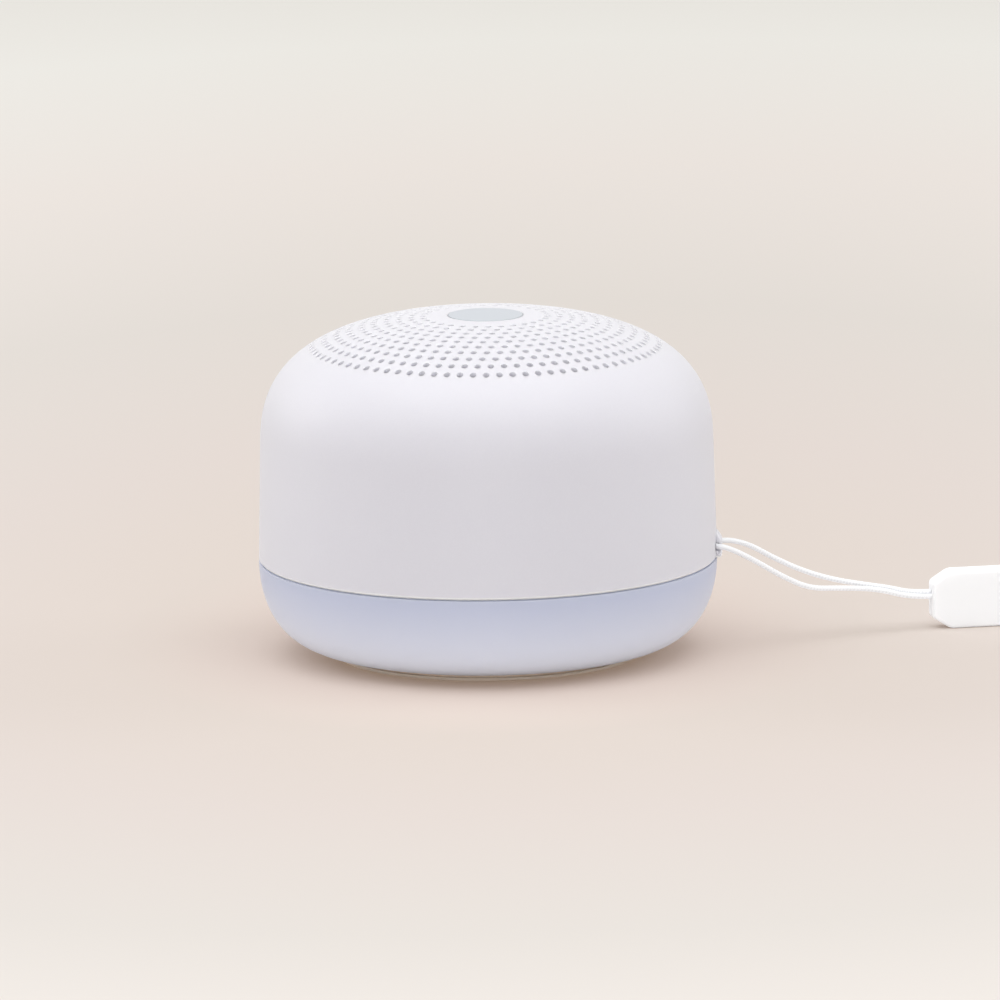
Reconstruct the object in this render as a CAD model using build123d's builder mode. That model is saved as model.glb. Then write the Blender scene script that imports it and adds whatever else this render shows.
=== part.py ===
from build123d import *
import os
from math import cos, radians, sin, sqrt, tan

os.makedirs("parts", exist_ok=True)

# A portable sound machine: a domed, perforated housing over a milky light bowl,
# with a doubled lanyard cord and a soft wrist strap hitched to an eyelet at its side.
# Millimetres, +Z up. The origin is the centre of the foot pad's underside.
# +X points at the lanyard eyelet, +Y at the rear, where the buttons and the socket are.

# ---------------------------------------------------------------- driving dimensions
body_radius = 45.0           # widest point, at the seam
seam_height = 18.8           # the housing meets the light bowl here
wall_top_radius = 44.4       # the wall draws in by its moulding draft
wall_top_height = 44.0       # the shoulder curve starts here
crown_height = 67.2          # top of the dome
shoulder_pull = 23.3         # how far the shoulder curve keeps climbing
crown_pull = 13.0            # how far the crown stays level from the axis
wall = 2.0                   # moulded wall of housing and bowl
draft = (body_radius - wall_top_radius) / (wall_top_height - seam_height)

# seam between housing and bowl
seam_gap = 0.3
seam_depth = 1.1
rim_chamfer = 0.35
rim_height = seam_height + seam_gap / 2
tongue_radius = body_radius - wall - 0.15
tongue_wall = 1.45
tongue_top = 21.2

# bowl and foot
bowl_edge_radius = 30.6
bowl_edge_height = 1.5
bowl_pull = 44.7              # how far out the bowl's side keeps its bulge
foot_radius = 30.3
foot_lip = 0.6
foot_neck_radius = 29.2

# grille: every ring carries six more holes than the ring inside it
ring_pitch = 2.432
first_ring = 5
last_ring = 14
hole_radius = 0.78           # corner radius of a four-sided hole as wide as a 1.3 mm drill
hole_sides = 4
grille_turn = 11.7           # degrees from +X to the first spoke of holes

# touch disc in the crown
disc_radius = 7.3
disc_thickness = 1.0
disc_gap = 0.15
foil_thickness = 0.3

# dust cloth under the grille
cloth_gap = 0.05
cloth_thickness = 0.3

# lanyard eyelet
eyelet_face = 46.0
eyelet_width = 4.4
eyelet_bottom = 19.0
eyelet_brow = 22.6            # the brow slopes from here up to the wall
eyelet_top = 24.1
tunnel_bottom = 20.3
tunnel_top = 22.0
tunnel_centre = 52.0
tunnel_outer = 8.15
tunnel_inner = 6.75
hook_gap = 0.65               # narrower than the cord, which is pressed in past the hook's tip

# rear controls
button_height = 35.0
button_radius = 3.0
button_pitch = 8.0
button_gap = 0.15
button_proud = 0.5
button_flange_radius = 3.6
button_flange = 0.8
stem_radius = 1.0
button_names = ["power", "volume_down", "volume_up", "sound", "timer"]
socket_height = 27.0
socket_width = 8.94           # outer shell of the charging socket
socket_thickness = 3.2
socket_slot = 0.36            # the slot in the wall is this much wider
scoop_width = 12.4            # shallow recess for the plug's grip
scoop_thickness = 6.6
scoop_depth = 0.8
light_pipe_x = 9.5
light_pipe_radius = 0.8

# inner frame
tray_bottom = tongue_top
tray_thickness = 1.6
tray_top = tray_bottom + tray_thickness
tray_radius = 42.3
post_circle = 24.0
post_radius = 3.2
boss_circle = 39.0
boss_radius = 3.0
boss_top = 46.0
lamp_circle = 16.5
board_standoff_x = 29.0
board_standoff_y = 17.0
standoff_radius = 2.3
pilot_radius = 1.1

# boards
main_board_length = 64.0
main_board_width = 40.0
main_board_bottom = 31.0
board_thickness = 1.6
board_top = main_board_bottom + board_thickness
lamp_board_bottom = 11.4
lamp_board_radius = 20.6
switch_board_face = 33.2     # y of the face that looks at the buttons
switch_board_width = 42.0
switch_board_top = 40.6
switch_screw_x = 18.5
switch_block_depth = 4.0
switch_height = 2.0
switch_side = 4.5
plunger_radius = 1.2
plunger_tip = 35.8

# battery
battery_length = 50.0
battery_width = 34.0
battery_height = 6.0

# loudspeaker
baffle_bottom = 48.0
baffle_thickness = 1.8
baffle_top = baffle_bottom + baffle_thickness
baffle_radius = 40.6
baffle_post_circle = 38.0
baffle_post_radius = 2.6
driver_radius = 26.0
driver_opening = 22.8
gasket_thickness = 0.8
flange_bottom = baffle_top + gasket_thickness
flange_top = flange_bottom + 1.0
driver_screw_circle = 24.7
pole_radius = 5.6
coil_radius = 6.0
magnet_radius = 14.0
magnet_thickness = 3.8
top_plate_top = 42.4
top_plate_thickness = 1.4
magnet_bottom = top_plate_top - top_plate_thickness - magnet_thickness
basket_neck = 7.2
spider_radius = 13.6
roll_centre = 19.8
roll_rise = 1.5

# lanyard
cord_diameter = 1.05
strap_origin = (86.55, 22.85)
strap_yaw = 14.0
strap_height = 11.6
strap_layer = 2.4
strap_head = 24.0
strap_length = 100.0
strap_loop = 13.0             # half the loop's width
loop_start = 62.0             # the loop runs straight from here
loop_end = strap_length - strap_loop
head_cut_length = 3.6         # the head's corners are cut back this far
head_cut_height = 2.3


def save(part, name):
    """Label a finished piece and write its STEP file."""
    part.label = name
    export_step(part, f"parts/{name}.step")


def wall_radius(height):
    """Radius of the drafted outer wall at a height."""
    return body_radius - draft * (height - seam_height)


def crown_curve(inset, mode=Mode.ADD):
    """Draw the shoulder and crown, a depth below the outer surface, from the wall to the axis."""
    shoulder_radius = wall_top_radius - draft * shoulder_pull
    return Bezier(
        (wall_top_radius - inset, wall_top_height),
        (shoulder_radius - inset, wall_top_height + shoulder_pull - inset),
        (crown_pull, crown_height - inset),
        (0, crown_height - inset),
        mode=mode,
    )


def bowl_curve(inset, mode=Mode.ADD):
    """Draw the bowl's side, a depth inside the outer surface, from the seam to the floor's edge."""
    return Bezier(
        (body_radius - inset, seam_height - 0.15),
        (body_radius - inset, seam_height - 2.5),
        (bowl_pull - inset, bowl_edge_height + 0.7 + inset),
        (bowl_edge_radius - inset / 2, bowl_edge_height + inset),
        mode=mode,
    )


def stepped(curve, count):
    """Follow a curve on a hidden side with a few straight runs."""
    return Polyline(*[curve @ (step / count) for step in range(count + 1)])


# ---------------------------------------------------------------- housing
with BuildPart() as housing:
    with BuildSketch(Plane.XZ):
        with BuildLine():
            outer = crown_curve(0)
            inner = stepped(crown_curve(wall, Mode.PRIVATE), 10)
            Line(outer @ 1, inner @ 1)
            Line(inner @ 0, (body_radius - wall, rim_height))
            Line((body_radius - wall, rim_height), (body_radius - rim_chamfer, rim_height))
            Line((body_radius - rim_chamfer, rim_height), (body_radius, rim_height + rim_chamfer))
            Line((body_radius, rim_height + rim_chamfer), outer @ 0)
        make_face()
    revolve(axis=Axis.Z)
    # posts for the inner frame, each tied to the wall by a rib
    with BuildSketch(Plane.XY.offset(tray_top)):
        with PolarLocations(boss_circle, 4, start_angle=45):
            Circle(boss_radius)
        with PolarLocations(boss_circle + boss_radius, 4, start_angle=45):
            Rectangle(4.0, 1.8)
    extrude(amount=boss_top - tray_top)
    # posts for the baffle, grown from the underside of the shoulder
    with BuildSketch(Plane.XY.offset(baffle_top)):
        with PolarLocations(baffle_post_circle, 4):
            Circle(baffle_post_radius)
    extrude(amount=8)
    # thicker seat under the touch disc
    with BuildSketch(Plane.XY.offset(crown_height - wall - 2.2)):
        Circle(disc_radius + 1.7)
    extrude(amount=3)
    # nothing stands out of the outer skin
    with BuildSketch(Plane.XZ):
        with BuildLine():
            outer = crown_curve(0)
            Line(outer @ 1, (0, rim_height))
            Line((0, rim_height), (body_radius - rim_chamfer, rim_height))
            Line((body_radius - rim_chamfer, rim_height), (body_radius, rim_height + rim_chamfer))
            Line((body_radius, rim_height + rim_chamfer), outer @ 0)
        make_face()
    revolve(axis=Axis.Z, mode=Mode.INTERSECT)
    # lanyard eyelet: a small block with a sloping brow
    with BuildSketch(Plane.XZ):
        with BuildLine():
            Polyline(
                (body_radius - 1.5, eyelet_bottom),
                (eyelet_face - 0.4, eyelet_bottom),
                (eyelet_face, eyelet_bottom + 0.5),
                (eyelet_face, eyelet_brow),
                (wall_radius(eyelet_top) - 0.1, eyelet_top),
                (body_radius - 1.5, eyelet_top),
                close=True,
            )
        make_face()
    extrude(amount=eyelet_width / 2, both=True)
    # tunnel that carries the cord on a curve, and the gap that leaves its front wall a hook
    with BuildSketch(Plane.XY.offset(tunnel_bottom)):
        with Locations((tunnel_centre, 0)):
            Circle(tunnel_outer)
            Circle(tunnel_inner, mode=Mode.SUBTRACT)
    extrude(amount=tunnel_top - tunnel_bottom, mode=Mode.SUBTRACT)
    with BuildSketch(Plane.XY.offset(tunnel_bottom)):
        with Locations((tunnel_centre - tunnel_inner, 0)):
            Rectangle(2.0, eyelet_width + 1, align=(Align.MIN, Align.CENTER))
    extrude(amount=hook_gap, mode=Mode.SUBTRACT)
    # pocket of the touch disc and the hole for its lead
    with BuildSketch(Plane.XY.offset(crown_height + 1)):
        Circle(disc_radius + disc_gap)
    extrude(amount=-(disc_thickness + foil_thickness + 1), mode=Mode.SUBTRACT)
    with BuildSketch(Plane.XY.offset(crown_height)):
        with Locations((4.5, 0)):
            Circle(0.9)
    extrude(amount=-8, mode=Mode.SUBTRACT)
    # button apertures, charging slot with its finger scoop, and the light pipe's hole
    with BuildSketch(Plane.XZ.offset(-50)):
        for place in range(len(button_names)):
            with Locations(((place - 2) * button_pitch, button_height)):
                Circle(button_radius + button_gap)
        with Locations((0, socket_height)):
            SlotOverall(socket_width + socket_slot, socket_thickness + socket_slot)
        with Locations((light_pipe_x, socket_height)):
            Circle(light_pipe_radius + 0.1)
    extrude(amount=12, mode=Mode.SUBTRACT)
    with BuildSketch(Plane.XZ.offset(-50)):
        with Locations((0, socket_height)):
            SlotOverall(scoop_width, scoop_thickness)
    extrude(amount=50 - (wall_radius(socket_height) - scoop_depth), mode=Mode.SUBTRACT)
    # pilot holes for the frame's and the baffle's screws
    with BuildSketch(Plane.XY.offset(tray_top)):
        with PolarLocations(boss_circle, 4, start_angle=45):
            Circle(pilot_radius)
    extrude(amount=9, mode=Mode.SUBTRACT)
    with BuildSketch(Plane.XY.offset(baffle_top)):
        with PolarLocations(baffle_post_circle, 4):
            Circle(pilot_radius)
    extrude(amount=4.5, mode=Mode.SUBTRACT)
    # grille holes, all drawn straight down as the mould pulls them
    with BuildSketch(Plane.XY.offset(crown_height + 0.5)):
        for ring in range(first_ring, last_ring + 1):
            with PolarLocations(ring * ring_pitch, 6 * ring, start_angle=grille_turn):
                RegularPolygon(hole_radius, hole_sides)
    extrude(amount=-10, mode=Mode.SUBTRACT)
save(housing.part, "housing")

# ---------------------------------------------------------------- touch disc
foil_bottom = crown_height - disc_thickness - foil_thickness
with BuildPart() as touch_disc:
    with BuildSketch(Plane.XZ):
        with BuildLine():
            Polyline(
                (0, crown_height),
                (0, crown_height - disc_thickness),
                (disc_radius, crown_height - disc_thickness),
                (disc_radius, crown_height - 0.25),
                (disc_radius - 0.18, crown_height - 0.08),
            )
            Bezier(
                (disc_radius - 0.18, crown_height - 0.08),
                (disc_radius - 3.5, crown_height),
                (disc_radius / 3, crown_height),
                (0, crown_height),
            )
        make_face()
    revolve(axis=Axis.Z)
save(touch_disc.part, "touch_disc")

with BuildPart() as touch_foil:
    with BuildSketch(Plane.XY.offset(foil_bottom)):
        Circle(disc_radius - 1.0)
    extrude(amount=foil_thickness)
save(touch_foil.part, "touch_foil")

# ---------------------------------------------------------------- dust cloth under the grille
with BuildPart() as grille_cloth:
    with BuildSketch(Plane.XZ):
        with BuildLine():
            upper = stepped(crown_curve(wall + cloth_gap, Mode.PRIVATE), 10)
            lower = stepped(crown_curve(wall + cloth_gap + cloth_thickness, Mode.PRIVATE), 10)
            Line(upper @ 1, lower @ 1)
            Line(lower @ 0, upper @ 0)
        make_face()
        with Locations(((first_ring - 1) * ring_pitch + 0.2, baffle_top + 4)):
            Rectangle(25.0, 20.0, align=(Align.MIN, Align.MIN), mode=Mode.INTERSECT)
    revolve(axis=Axis.Z)
save(grille_cloth.part, "grille_cloth")

# ---------------------------------------------------------------- baffle and loudspeaker
with BuildPart() as baffle:
    with BuildSketch(Plane.XY.offset(baffle_bottom)):
        Circle(baffle_radius)
        Circle(driver_opening, mode=Mode.SUBTRACT)
        with PolarLocations(baffle_post_circle, 4):
            Circle(pilot_radius + 0.25, mode=Mode.SUBTRACT)
        with PolarLocations(driver_screw_circle, 4, start_angle=45):
            Circle(0.9, mode=Mode.SUBTRACT)
        with Locations((-31, 8)):
            Circle(2.0, mode=Mode.SUBTRACT)
    extrude(amount=baffle_thickness)
    # stiffening ring round the driver
    with BuildSketch(Plane.XY.offset(baffle_bottom - 2.5)):
        Circle(28.4)
        Circle(27.2, mode=Mode.SUBTRACT)
    extrude(amount=2.5)
save(baffle.part, "baffle")

with BuildPart() as speaker_gasket:
    with BuildSketch(Plane.XY.offset(baffle_top)):
        Circle(driver_radius)
        Circle(driver_opening + 0.6, mode=Mode.SUBTRACT)
        with PolarLocations(driver_screw_circle, 4, start_angle=45):
            Circle(1.0, mode=Mode.SUBTRACT)
    extrude(amount=gasket_thickness)
save(speaker_gasket.part, "speaker_gasket")

with BuildPart() as speaker_basket:
    with BuildSketch(Plane.XZ):
        with BuildLine():
            Polyline(
                (driver_radius, flange_bottom),
                (driver_radius, flange_top),
                (21.6, flange_top),
                (13.8, top_plate_top + 1.8),
                (12.4, top_plate_top + 1.8),
                (12.4, top_plate_top + 0.8),
                (basket_neck, top_plate_top + 0.8),
                (basket_neck, top_plate_top),
                (14.6, top_plate_top),
                (22.4, flange_bottom),
                close=True,
            )
        make_face()
    revolve(axis=Axis.Z)
    # four windows let the back of the cone breathe
    with BuildSketch(Plane.XY.offset(top_plate_top - 1)):
        with PolarLocations(18.5, 4):
            Rectangle(5.4, 15.0)
    extrude(amount=7.6, mode=Mode.SUBTRACT)
    with BuildSketch(Plane.XY.offset(flange_bottom)):
        with PolarLocations(driver_screw_circle, 4, start_angle=45):
            Circle(0.95)
    extrude(amount=2, mode=Mode.SUBTRACT)
save(speaker_basket.part, "speaker_basket")

with BuildPart() as speaker_top_plate:
    with BuildSketch(Plane.XY.offset(top_plate_top - top_plate_thickness)):
        Circle(magnet_radius - 0.5)
        Circle(coil_radius + 0.7, mode=Mode.SUBTRACT)
    extrude(amount=top_plate_thickness)
save(speaker_top_plate.part, "speaker_top_plate")

with BuildPart() as speaker_magnet:
    with BuildSketch(Plane.XY.offset(magnet_bottom)):
        Circle(magnet_radius)
        Circle(8.5, mode=Mode.SUBTRACT)
    extrude(amount=magnet_thickness)
save(speaker_magnet.part, "speaker_magnet")

with BuildPart() as speaker_yoke:
    with BuildSketch(Plane.XY.offset(magnet_bottom - 1.5)):
        Circle(magnet_radius - 1)
    extrude(amount=1.5)
    with BuildSketch(Plane.XY.offset(magnet_bottom)):
        Circle(pole_radius)
    extrude(amount=top_plate_top - magnet_bottom)
save(speaker_yoke.part, "speaker_yoke")

with BuildPart() as speaker_cone:
    with BuildSketch(Plane.XZ):
        with BuildLine():
            Polyline(
                (17.7, flange_top),
                (16.9, flange_top),
                (coil_radius + 0.3, 45.7),
                (coil_radius + 0.3, 45.2),
                (coil_radius + 0.6, 45.2),
                close=True,
            )
        make_face()
    revolve(axis=Axis.Z)
save(speaker_cone.part, "speaker_cone")

with BuildPart() as dust_cap:
    with BuildSketch(Plane.XZ):
        with BuildLine():
            Polyline((0, 48.8), (2.4, 48.65), (4.2, 48.2), (5.8, 47.5), (7.5, 46.45))
            Polyline((7.5, 46.45), (7.0, 46.15), (5.4, 47.2), (4.0, 47.8), (2.3, 48.25), (0, 48.4), (0, 48.8))
        make_face()
    revolve(axis=Axis.Z)
save(dust_cap.part, "dust_cap")

with BuildPart() as voice_coil:
    with BuildSketch(Plane.XY.offset(39.0)):
        Circle(coil_radius + 0.25)
        Circle(coil_radius - 0.05, mode=Mode.SUBTRACT)
    extrude(amount=6.7)
save(voice_coil.part, "voice_coil")


def roll_curve(half_width, foot):
    """Draw one side of the surround's half roll, from its inner foot to its outer one."""
    return ThreePointArc(
        (roll_centre - half_width, foot),
        (roll_centre, foot + roll_rise),
        (roll_centre + half_width, foot),
        mode=Mode.PRIVATE,
    )


surround_top = flange_top + 0.4
with BuildPart() as speaker_surround:
    with BuildSketch(Plane.XZ):
        with BuildLine():
            under = stepped(roll_curve(1.5, flange_top), 6)
            over = stepped(roll_curve(1.9, surround_top), 6)
            Polyline(over @ 0, (16.9, surround_top), (16.9, flange_top), under @ 0)
            Polyline(under @ 1, (23.0, flange_top), (23.0, surround_top), over @ 1)
        make_face()
    revolve(axis=Axis.Z)
save(speaker_surround.part, "speaker_surround")

with BuildPart() as speaker_spider:
    with BuildSketch(Plane.XY.offset(top_plate_top + 1.8)):
        Circle(spider_radius)
        Circle(coil_radius + 0.3, mode=Mode.SUBTRACT)
    extrude(amount=0.3)
save(speaker_spider.part, "speaker_spider")

# ---------------------------------------------------------------- inner frame
with BuildPart() as inner_frame:
    with BuildSketch(Plane.XY.offset(tray_bottom)):
        Circle(tray_radius)
        with PolarLocations(boss_circle, 4, start_angle=45):
            Circle(pilot_radius + 0.3, mode=Mode.SUBTRACT)
        with Locations((-33, 0), (0, -28)):
            Circle(3.0, mode=Mode.SUBTRACT)
    extrude(amount=tray_thickness)
    # cradle walls round the battery
    with BuildSketch(Plane.XY.offset(tray_top)):
        RectangleRounded(battery_length + 3.4, battery_width + 3.4, 2.5)
        RectangleRounded(battery_length + 0.6, battery_width + 0.6, 1.2, mode=Mode.SUBTRACT)
    extrude(amount=3.5)
    # standoffs of the main board
    with BuildSketch(Plane.XY.offset(tray_top)):
        with GridLocations(2 * board_standoff_x, 2 * board_standoff_y, 2, 2):
            Circle(standoff_radius)
            Circle(0.9, mode=Mode.SUBTRACT)
    extrude(amount=main_board_bottom - tray_top)
    # blocks that hold the switch board upright
    with BuildSketch(Plane.XY.offset(tray_top)):
        with Locations((-switch_screw_x, 0), (switch_screw_x, 0)):
            with Locations((0, switch_board_face - board_thickness - switch_block_depth / 2)):
                Rectangle(5.0, switch_block_depth)
    extrude(amount=15)
    with BuildSketch(Plane.XZ.offset(-(switch_board_face - board_thickness))):
        with Locations((-switch_screw_x, socket_height), (switch_screw_x, socket_height)):
            Circle(0.8)
    extrude(amount=3.2, mode=Mode.SUBTRACT)
    # posts that reach down to the bowl's floor, and the lamp board's standoffs
    with BuildSketch(Plane.XY.offset(bowl_edge_height + wall)):
        with PolarLocations(post_circle, 4, start_angle=45):
            Circle(post_radius)
            Circle(pilot_radius, mode=Mode.SUBTRACT)
    extrude(amount=tray_bottom - bowl_edge_height - wall)
    with BuildSketch(Plane.XY.offset(lamp_board_bottom + board_thickness)):
        with PolarLocations(lamp_circle, 3, start_angle=90):
            Circle(2.0)
            Circle(0.8, mode=Mode.SUBTRACT)
    extrude(amount=tray_bottom - lamp_board_bottom - board_thickness)
save(inner_frame.part, "inner_frame")

with BuildPart() as battery_pad:
    with BuildSketch(Plane.XY.offset(tray_top)):
        Rectangle(battery_length - 8, battery_width - 8)
    extrude(amount=0.6)
save(battery_pad.part, "battery_pad")

with BuildPart() as battery:
    with BuildSketch(Plane.XY.offset(tray_top + 0.6)):
        RectangleRounded(battery_length, battery_width, 1.0)
    extrude(amount=battery_height)
save(battery.part, "battery")

# ---------------------------------------------------------------- boards
with BuildPart() as main_board:
    with BuildSketch(Plane.XY.offset(main_board_bottom)):
        RectangleRounded(main_board_length, main_board_width, 2.0)
        with GridLocations(2 * board_standoff_x, 2 * board_standoff_y, 2, 2):
            Circle(1.05, mode=Mode.SUBTRACT)
    extrude(amount=board_thickness)
save(main_board.part, "main_board")

with BuildPart() as board_chips:
    with BuildSketch(Plane.XY.offset(board_top)):
        with Locations((-18, 6)):
            Rectangle(9, 9)
        with Locations((18, 7)):
            Rectangle(6, 5)
        with Locations((20, -8)):
            Rectangle(5, 5)
        with Locations((-20, -10)):
            Rectangle(6, 8)
    extrude(amount=1.4)
save(board_chips.part, "board_chips")

with BuildPart() as switch_board:
    with BuildSketch(Plane.XZ.offset(-switch_board_face)):
        with Locations((0, (tray_top + switch_board_top) / 2)):
            Rectangle(switch_board_width, switch_board_top - tray_top - 0.4)
        with Locations((-switch_screw_x, socket_height), (switch_screw_x, socket_height)):
            Circle(0.95, mode=Mode.SUBTRACT)
    extrude(amount=board_thickness)
save(switch_board.part, "switch_board")

with BuildPart() as tact_switches:
    with BuildSketch(Plane.XZ.offset(-(switch_board_face + switch_height))):
        for place in range(len(button_names)):
            with Locations(((place - 2) * button_pitch, button_height)):
                Rectangle(switch_side, switch_side)
    extrude(amount=switch_height)
    with BuildSketch(Plane.XZ.offset(-(switch_board_face + switch_height))):
        for place in range(len(button_names)):
            with Locations(((place - 2) * button_pitch, button_height)):
                Circle(plunger_radius + 0.06)
    extrude(amount=switch_height - 0.4, mode=Mode.SUBTRACT)
save(tact_switches.part, "tact_switches")

with BuildPart() as usb_socket:
    with BuildSketch(Plane.XZ.offset(-(wall_radius(socket_height) - 1.2))):
        with Locations((0, socket_height)):
            SlotOverall(socket_width, socket_thickness)
    extrude(amount=wall_radius(socket_height) - 1.2 - switch_board_face)
    with BuildSketch(Plane.XZ.offset(-(wall_radius(socket_height) - 1.2))):
        with Locations((0, socket_height)):
            SlotOverall(socket_width - 0.6, socket_thickness - 0.6)
            Rectangle(6.7, 0.7, mode=Mode.SUBTRACT)
    extrude(amount=6.4, mode=Mode.SUBTRACT)
save(usb_socket.part, "usb_socket")

with BuildPart() as status_led:
    with BuildSketch(Plane.XZ.offset(-(switch_board_face + 0.8))):
        with Locations((light_pipe_x, socket_height)):
            Rectangle(1.6, 0.8)
    extrude(amount=0.8)
save(status_led.part, "status_led")

pipe_face = sqrt(wall_radius(socket_height) ** 2 - light_pipe_x ** 2)
pipe_flange_radius = light_pipe_radius + 0.9
pipe_flange_reach = light_pipe_x + pipe_flange_radius
pipe_flange_face = sqrt((wall_radius(socket_height) - wall) ** 2 - pipe_flange_reach ** 2) - 0.05
with BuildPart() as light_pipe:
    with BuildSketch(Plane.XZ.offset(-pipe_face)):
        with Locations((light_pipe_x, socket_height)):
            Circle(light_pipe_radius)
    extrude(amount=pipe_face - switch_board_face - 0.8)
    with BuildSketch(Plane.XZ.offset(-pipe_flange_face)):
        with Locations((light_pipe_x, socket_height)):
            Circle(pipe_flange_radius)
    extrude(amount=1.0)
save(light_pipe.part, "light_pipe")

# ---------------------------------------------------------------- buttons
for place, name in enumerate(button_names):
    button_x = (place - 2) * button_pitch
    reach = abs(button_x) + button_flange_radius
    flange_face = sqrt((wall_radius(button_height + button_flange_radius) - wall) ** 2 - reach ** 2) - 0.1
    with BuildPart() as cap:
        with BuildSketch(Plane.XZ.offset(-50)):
            with Locations((button_x, button_height)):
                Circle(button_radius)
        extrude(amount=50 - flange_face)
        # the cap's face follows the round of the wall
        with Locations((0, 0, button_height)):
            Cylinder(wall_radius(button_height) + button_proud, 10, mode=Mode.INTERSECT)
        with BuildSketch(Plane.XZ.offset(-flange_face)):
            with Locations((button_x, button_height)):
                Circle(button_flange_radius)
        extrude(amount=button_flange)
        with BuildSketch(Plane.XZ.offset(-(flange_face - button_flange))):
            with Locations((button_x, button_height)):
                Circle(stem_radius)
        extrude(amount=flange_face - button_flange - plunger_tip)
    save(cap.part, f"button_{name}")

    with BuildPart() as plunger:
        with BuildSketch(Plane.XZ.offset(-plunger_tip)):
            with Locations((button_x, button_height)):
                Circle(plunger_radius)
        extrude(amount=plunger_tip - switch_board_face - 0.95)
    save(plunger.part, f"plunger_{name}")

# ---------------------------------------------------------------- light bowl
with BuildPart() as light_bowl:
    with BuildSketch(Plane.XZ):
        with BuildLine():
            outer = bowl_curve(0)
            inner = stepped(bowl_curve(wall, Mode.PRIVATE), 8)
            Line(outer @ 1, (0, bowl_edge_height))
            Line((0, bowl_edge_height), (0, bowl_edge_height + wall))
            Line((0, bowl_edge_height + wall), inner @ 1)
            Polyline(
                inner @ 0,
                (tongue_radius - tongue_wall, seam_height - 0.15),
                (tongue_radius - tongue_wall, tongue_top),
                (tongue_radius, tongue_top),
                (tongue_radius, rim_height),
                (body_radius - seam_depth, rim_height),
                (body_radius - seam_depth, seam_height - 0.15),
                outer @ 0,
            )
        make_face()
    revolve(axis=Axis.Z)
    # counterbored holes for the screws that hold the bowl to the inner frame
    with BuildSketch(Plane.XY.offset(bowl_edge_height)):
        with PolarLocations(post_circle, 4, start_angle=45):
            Circle(pilot_radius + 0.3)
    extrude(amount=wall, mode=Mode.SUBTRACT)
    with BuildSketch(Plane.XY.offset(bowl_edge_height)):
        with PolarLocations(post_circle, 4, start_angle=45):
            Circle(2.4)
    extrude(amount=1.0, mode=Mode.SUBTRACT)
save(light_bowl.part, "light_bowl")

with BuildPart() as reflector:
    with BuildSketch(Plane.XY.offset(tray_bottom - 0.35)):
        Circle(36.5)
        with PolarLocations(post_circle, 4, start_angle=45):
            Circle(post_radius + 0.2, mode=Mode.SUBTRACT)
        with PolarLocations(lamp_circle, 3, start_angle=90):
            Circle(2.2, mode=Mode.SUBTRACT)
        with Locations((-33, 0), (0, -28)):
            Circle(3.0, mode=Mode.SUBTRACT)
    extrude(amount=0.35)
save(reflector.part, "reflector")

with BuildPart() as lamp_board:
    with BuildSketch(Plane.XY.offset(lamp_board_bottom)):
        Circle(lamp_board_radius)
        Circle(10.0, mode=Mode.SUBTRACT)
        with PolarLocations(lamp_circle, 3, start_angle=90):
            Circle(0.95, mode=Mode.SUBTRACT)
        # notches that clear the frame's posts
        with PolarLocations(post_circle, 4, start_angle=45):
            Circle(post_radius + 0.5, mode=Mode.SUBTRACT)
    extrude(amount=board_thickness)
save(lamp_board.part, "lamp_board")

with BuildPart() as lamps:
    with BuildSketch(Plane.XY.offset(lamp_board_bottom - 1.2)):
        with PolarLocations(lamp_circle + 1.2, 6):
            Rectangle(2.8, 3.0)
    extrude(amount=1.2)
save(lamps.part, "lamps")

# ---------------------------------------------------------------- foot
with BuildPart() as foot_pad:
    with BuildSketch(Plane.XZ):
        with BuildLine():
            Polyline(
                (0, 0),
                (foot_radius - 0.15, 0),
                (foot_radius, 0.15),
                (foot_radius, foot_lip),
                (foot_neck_radius, foot_lip),
                (foot_neck_radius, bowl_edge_height),
                (0, bowl_edge_height),
                close=True,
            )
        make_face()
    revolve(axis=Axis.Z)
save(foot_pad.part, "foot_pad")


# ---------------------------------------------------------------- screws
def screw_set(name, circle, count, start, head_plane, up, head, shank, length):
    """Write one set of pan-head screws: heads on head_plane, shanks along up (+1 or -1)."""
    with BuildPart() as screws:
        with BuildSketch(Plane.XY.offset(head_plane)):
            with PolarLocations(circle, count, start_angle=start):
                Circle(head)
        extrude(amount=-0.75 * up)
        with BuildSketch(Plane.XY.offset(head_plane)):
            with PolarLocations(circle, count, start_angle=start):
                Circle(shank)
        extrude(amount=length * up)
    save(screws.part, name)


screw_set("bowl_screws", post_circle, 4, 45, bowl_edge_height + 1.0, 1, 2.1, 1.05, 8)
screw_set("frame_screws", boss_circle, 4, 45, tray_bottom, 1, 1.9, 1.05, 8)
screw_set("baffle_screws", baffle_post_circle, 4, 0, baffle_bottom, 1, 2.0, 1.05, 5.5)
screw_set("driver_screws", driver_screw_circle, 4, 45, flange_top, -1, 1.3, 0.85, 3.4)
screw_set("lamp_screws", lamp_circle, 3, 90, lamp_board_bottom, 1, 1.5, 0.75, 5)

with BuildPart() as board_screws:
    with BuildSketch(Plane.XY.offset(board_top)):
        with GridLocations(2 * board_standoff_x, 2 * board_standoff_y, 2, 2):
            Circle(1.7)
    extrude(amount=0.9)
    with BuildSketch(Plane.XY.offset(board_top)):
        with GridLocations(2 * board_standoff_x, 2 * board_standoff_y, 2, 2):
            Circle(0.85)
    extrude(amount=-5.5)
save(board_screws.part, "board_screws")

with BuildPart() as switch_screws:
    with BuildSketch(Plane.XZ.offset(-switch_board_face)):
        with Locations((-switch_screw_x, socket_height), (switch_screw_x, socket_height)):
            Circle(1.5)
    extrude(amount=-0.8)
    with BuildSketch(Plane.XZ.offset(-switch_board_face)):
        with Locations((-switch_screw_x, socket_height), (switch_screw_x, socket_height)):
            Circle(0.75)
    extrude(amount=4.4)
save(switch_screws.part, "switch_screws")

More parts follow.
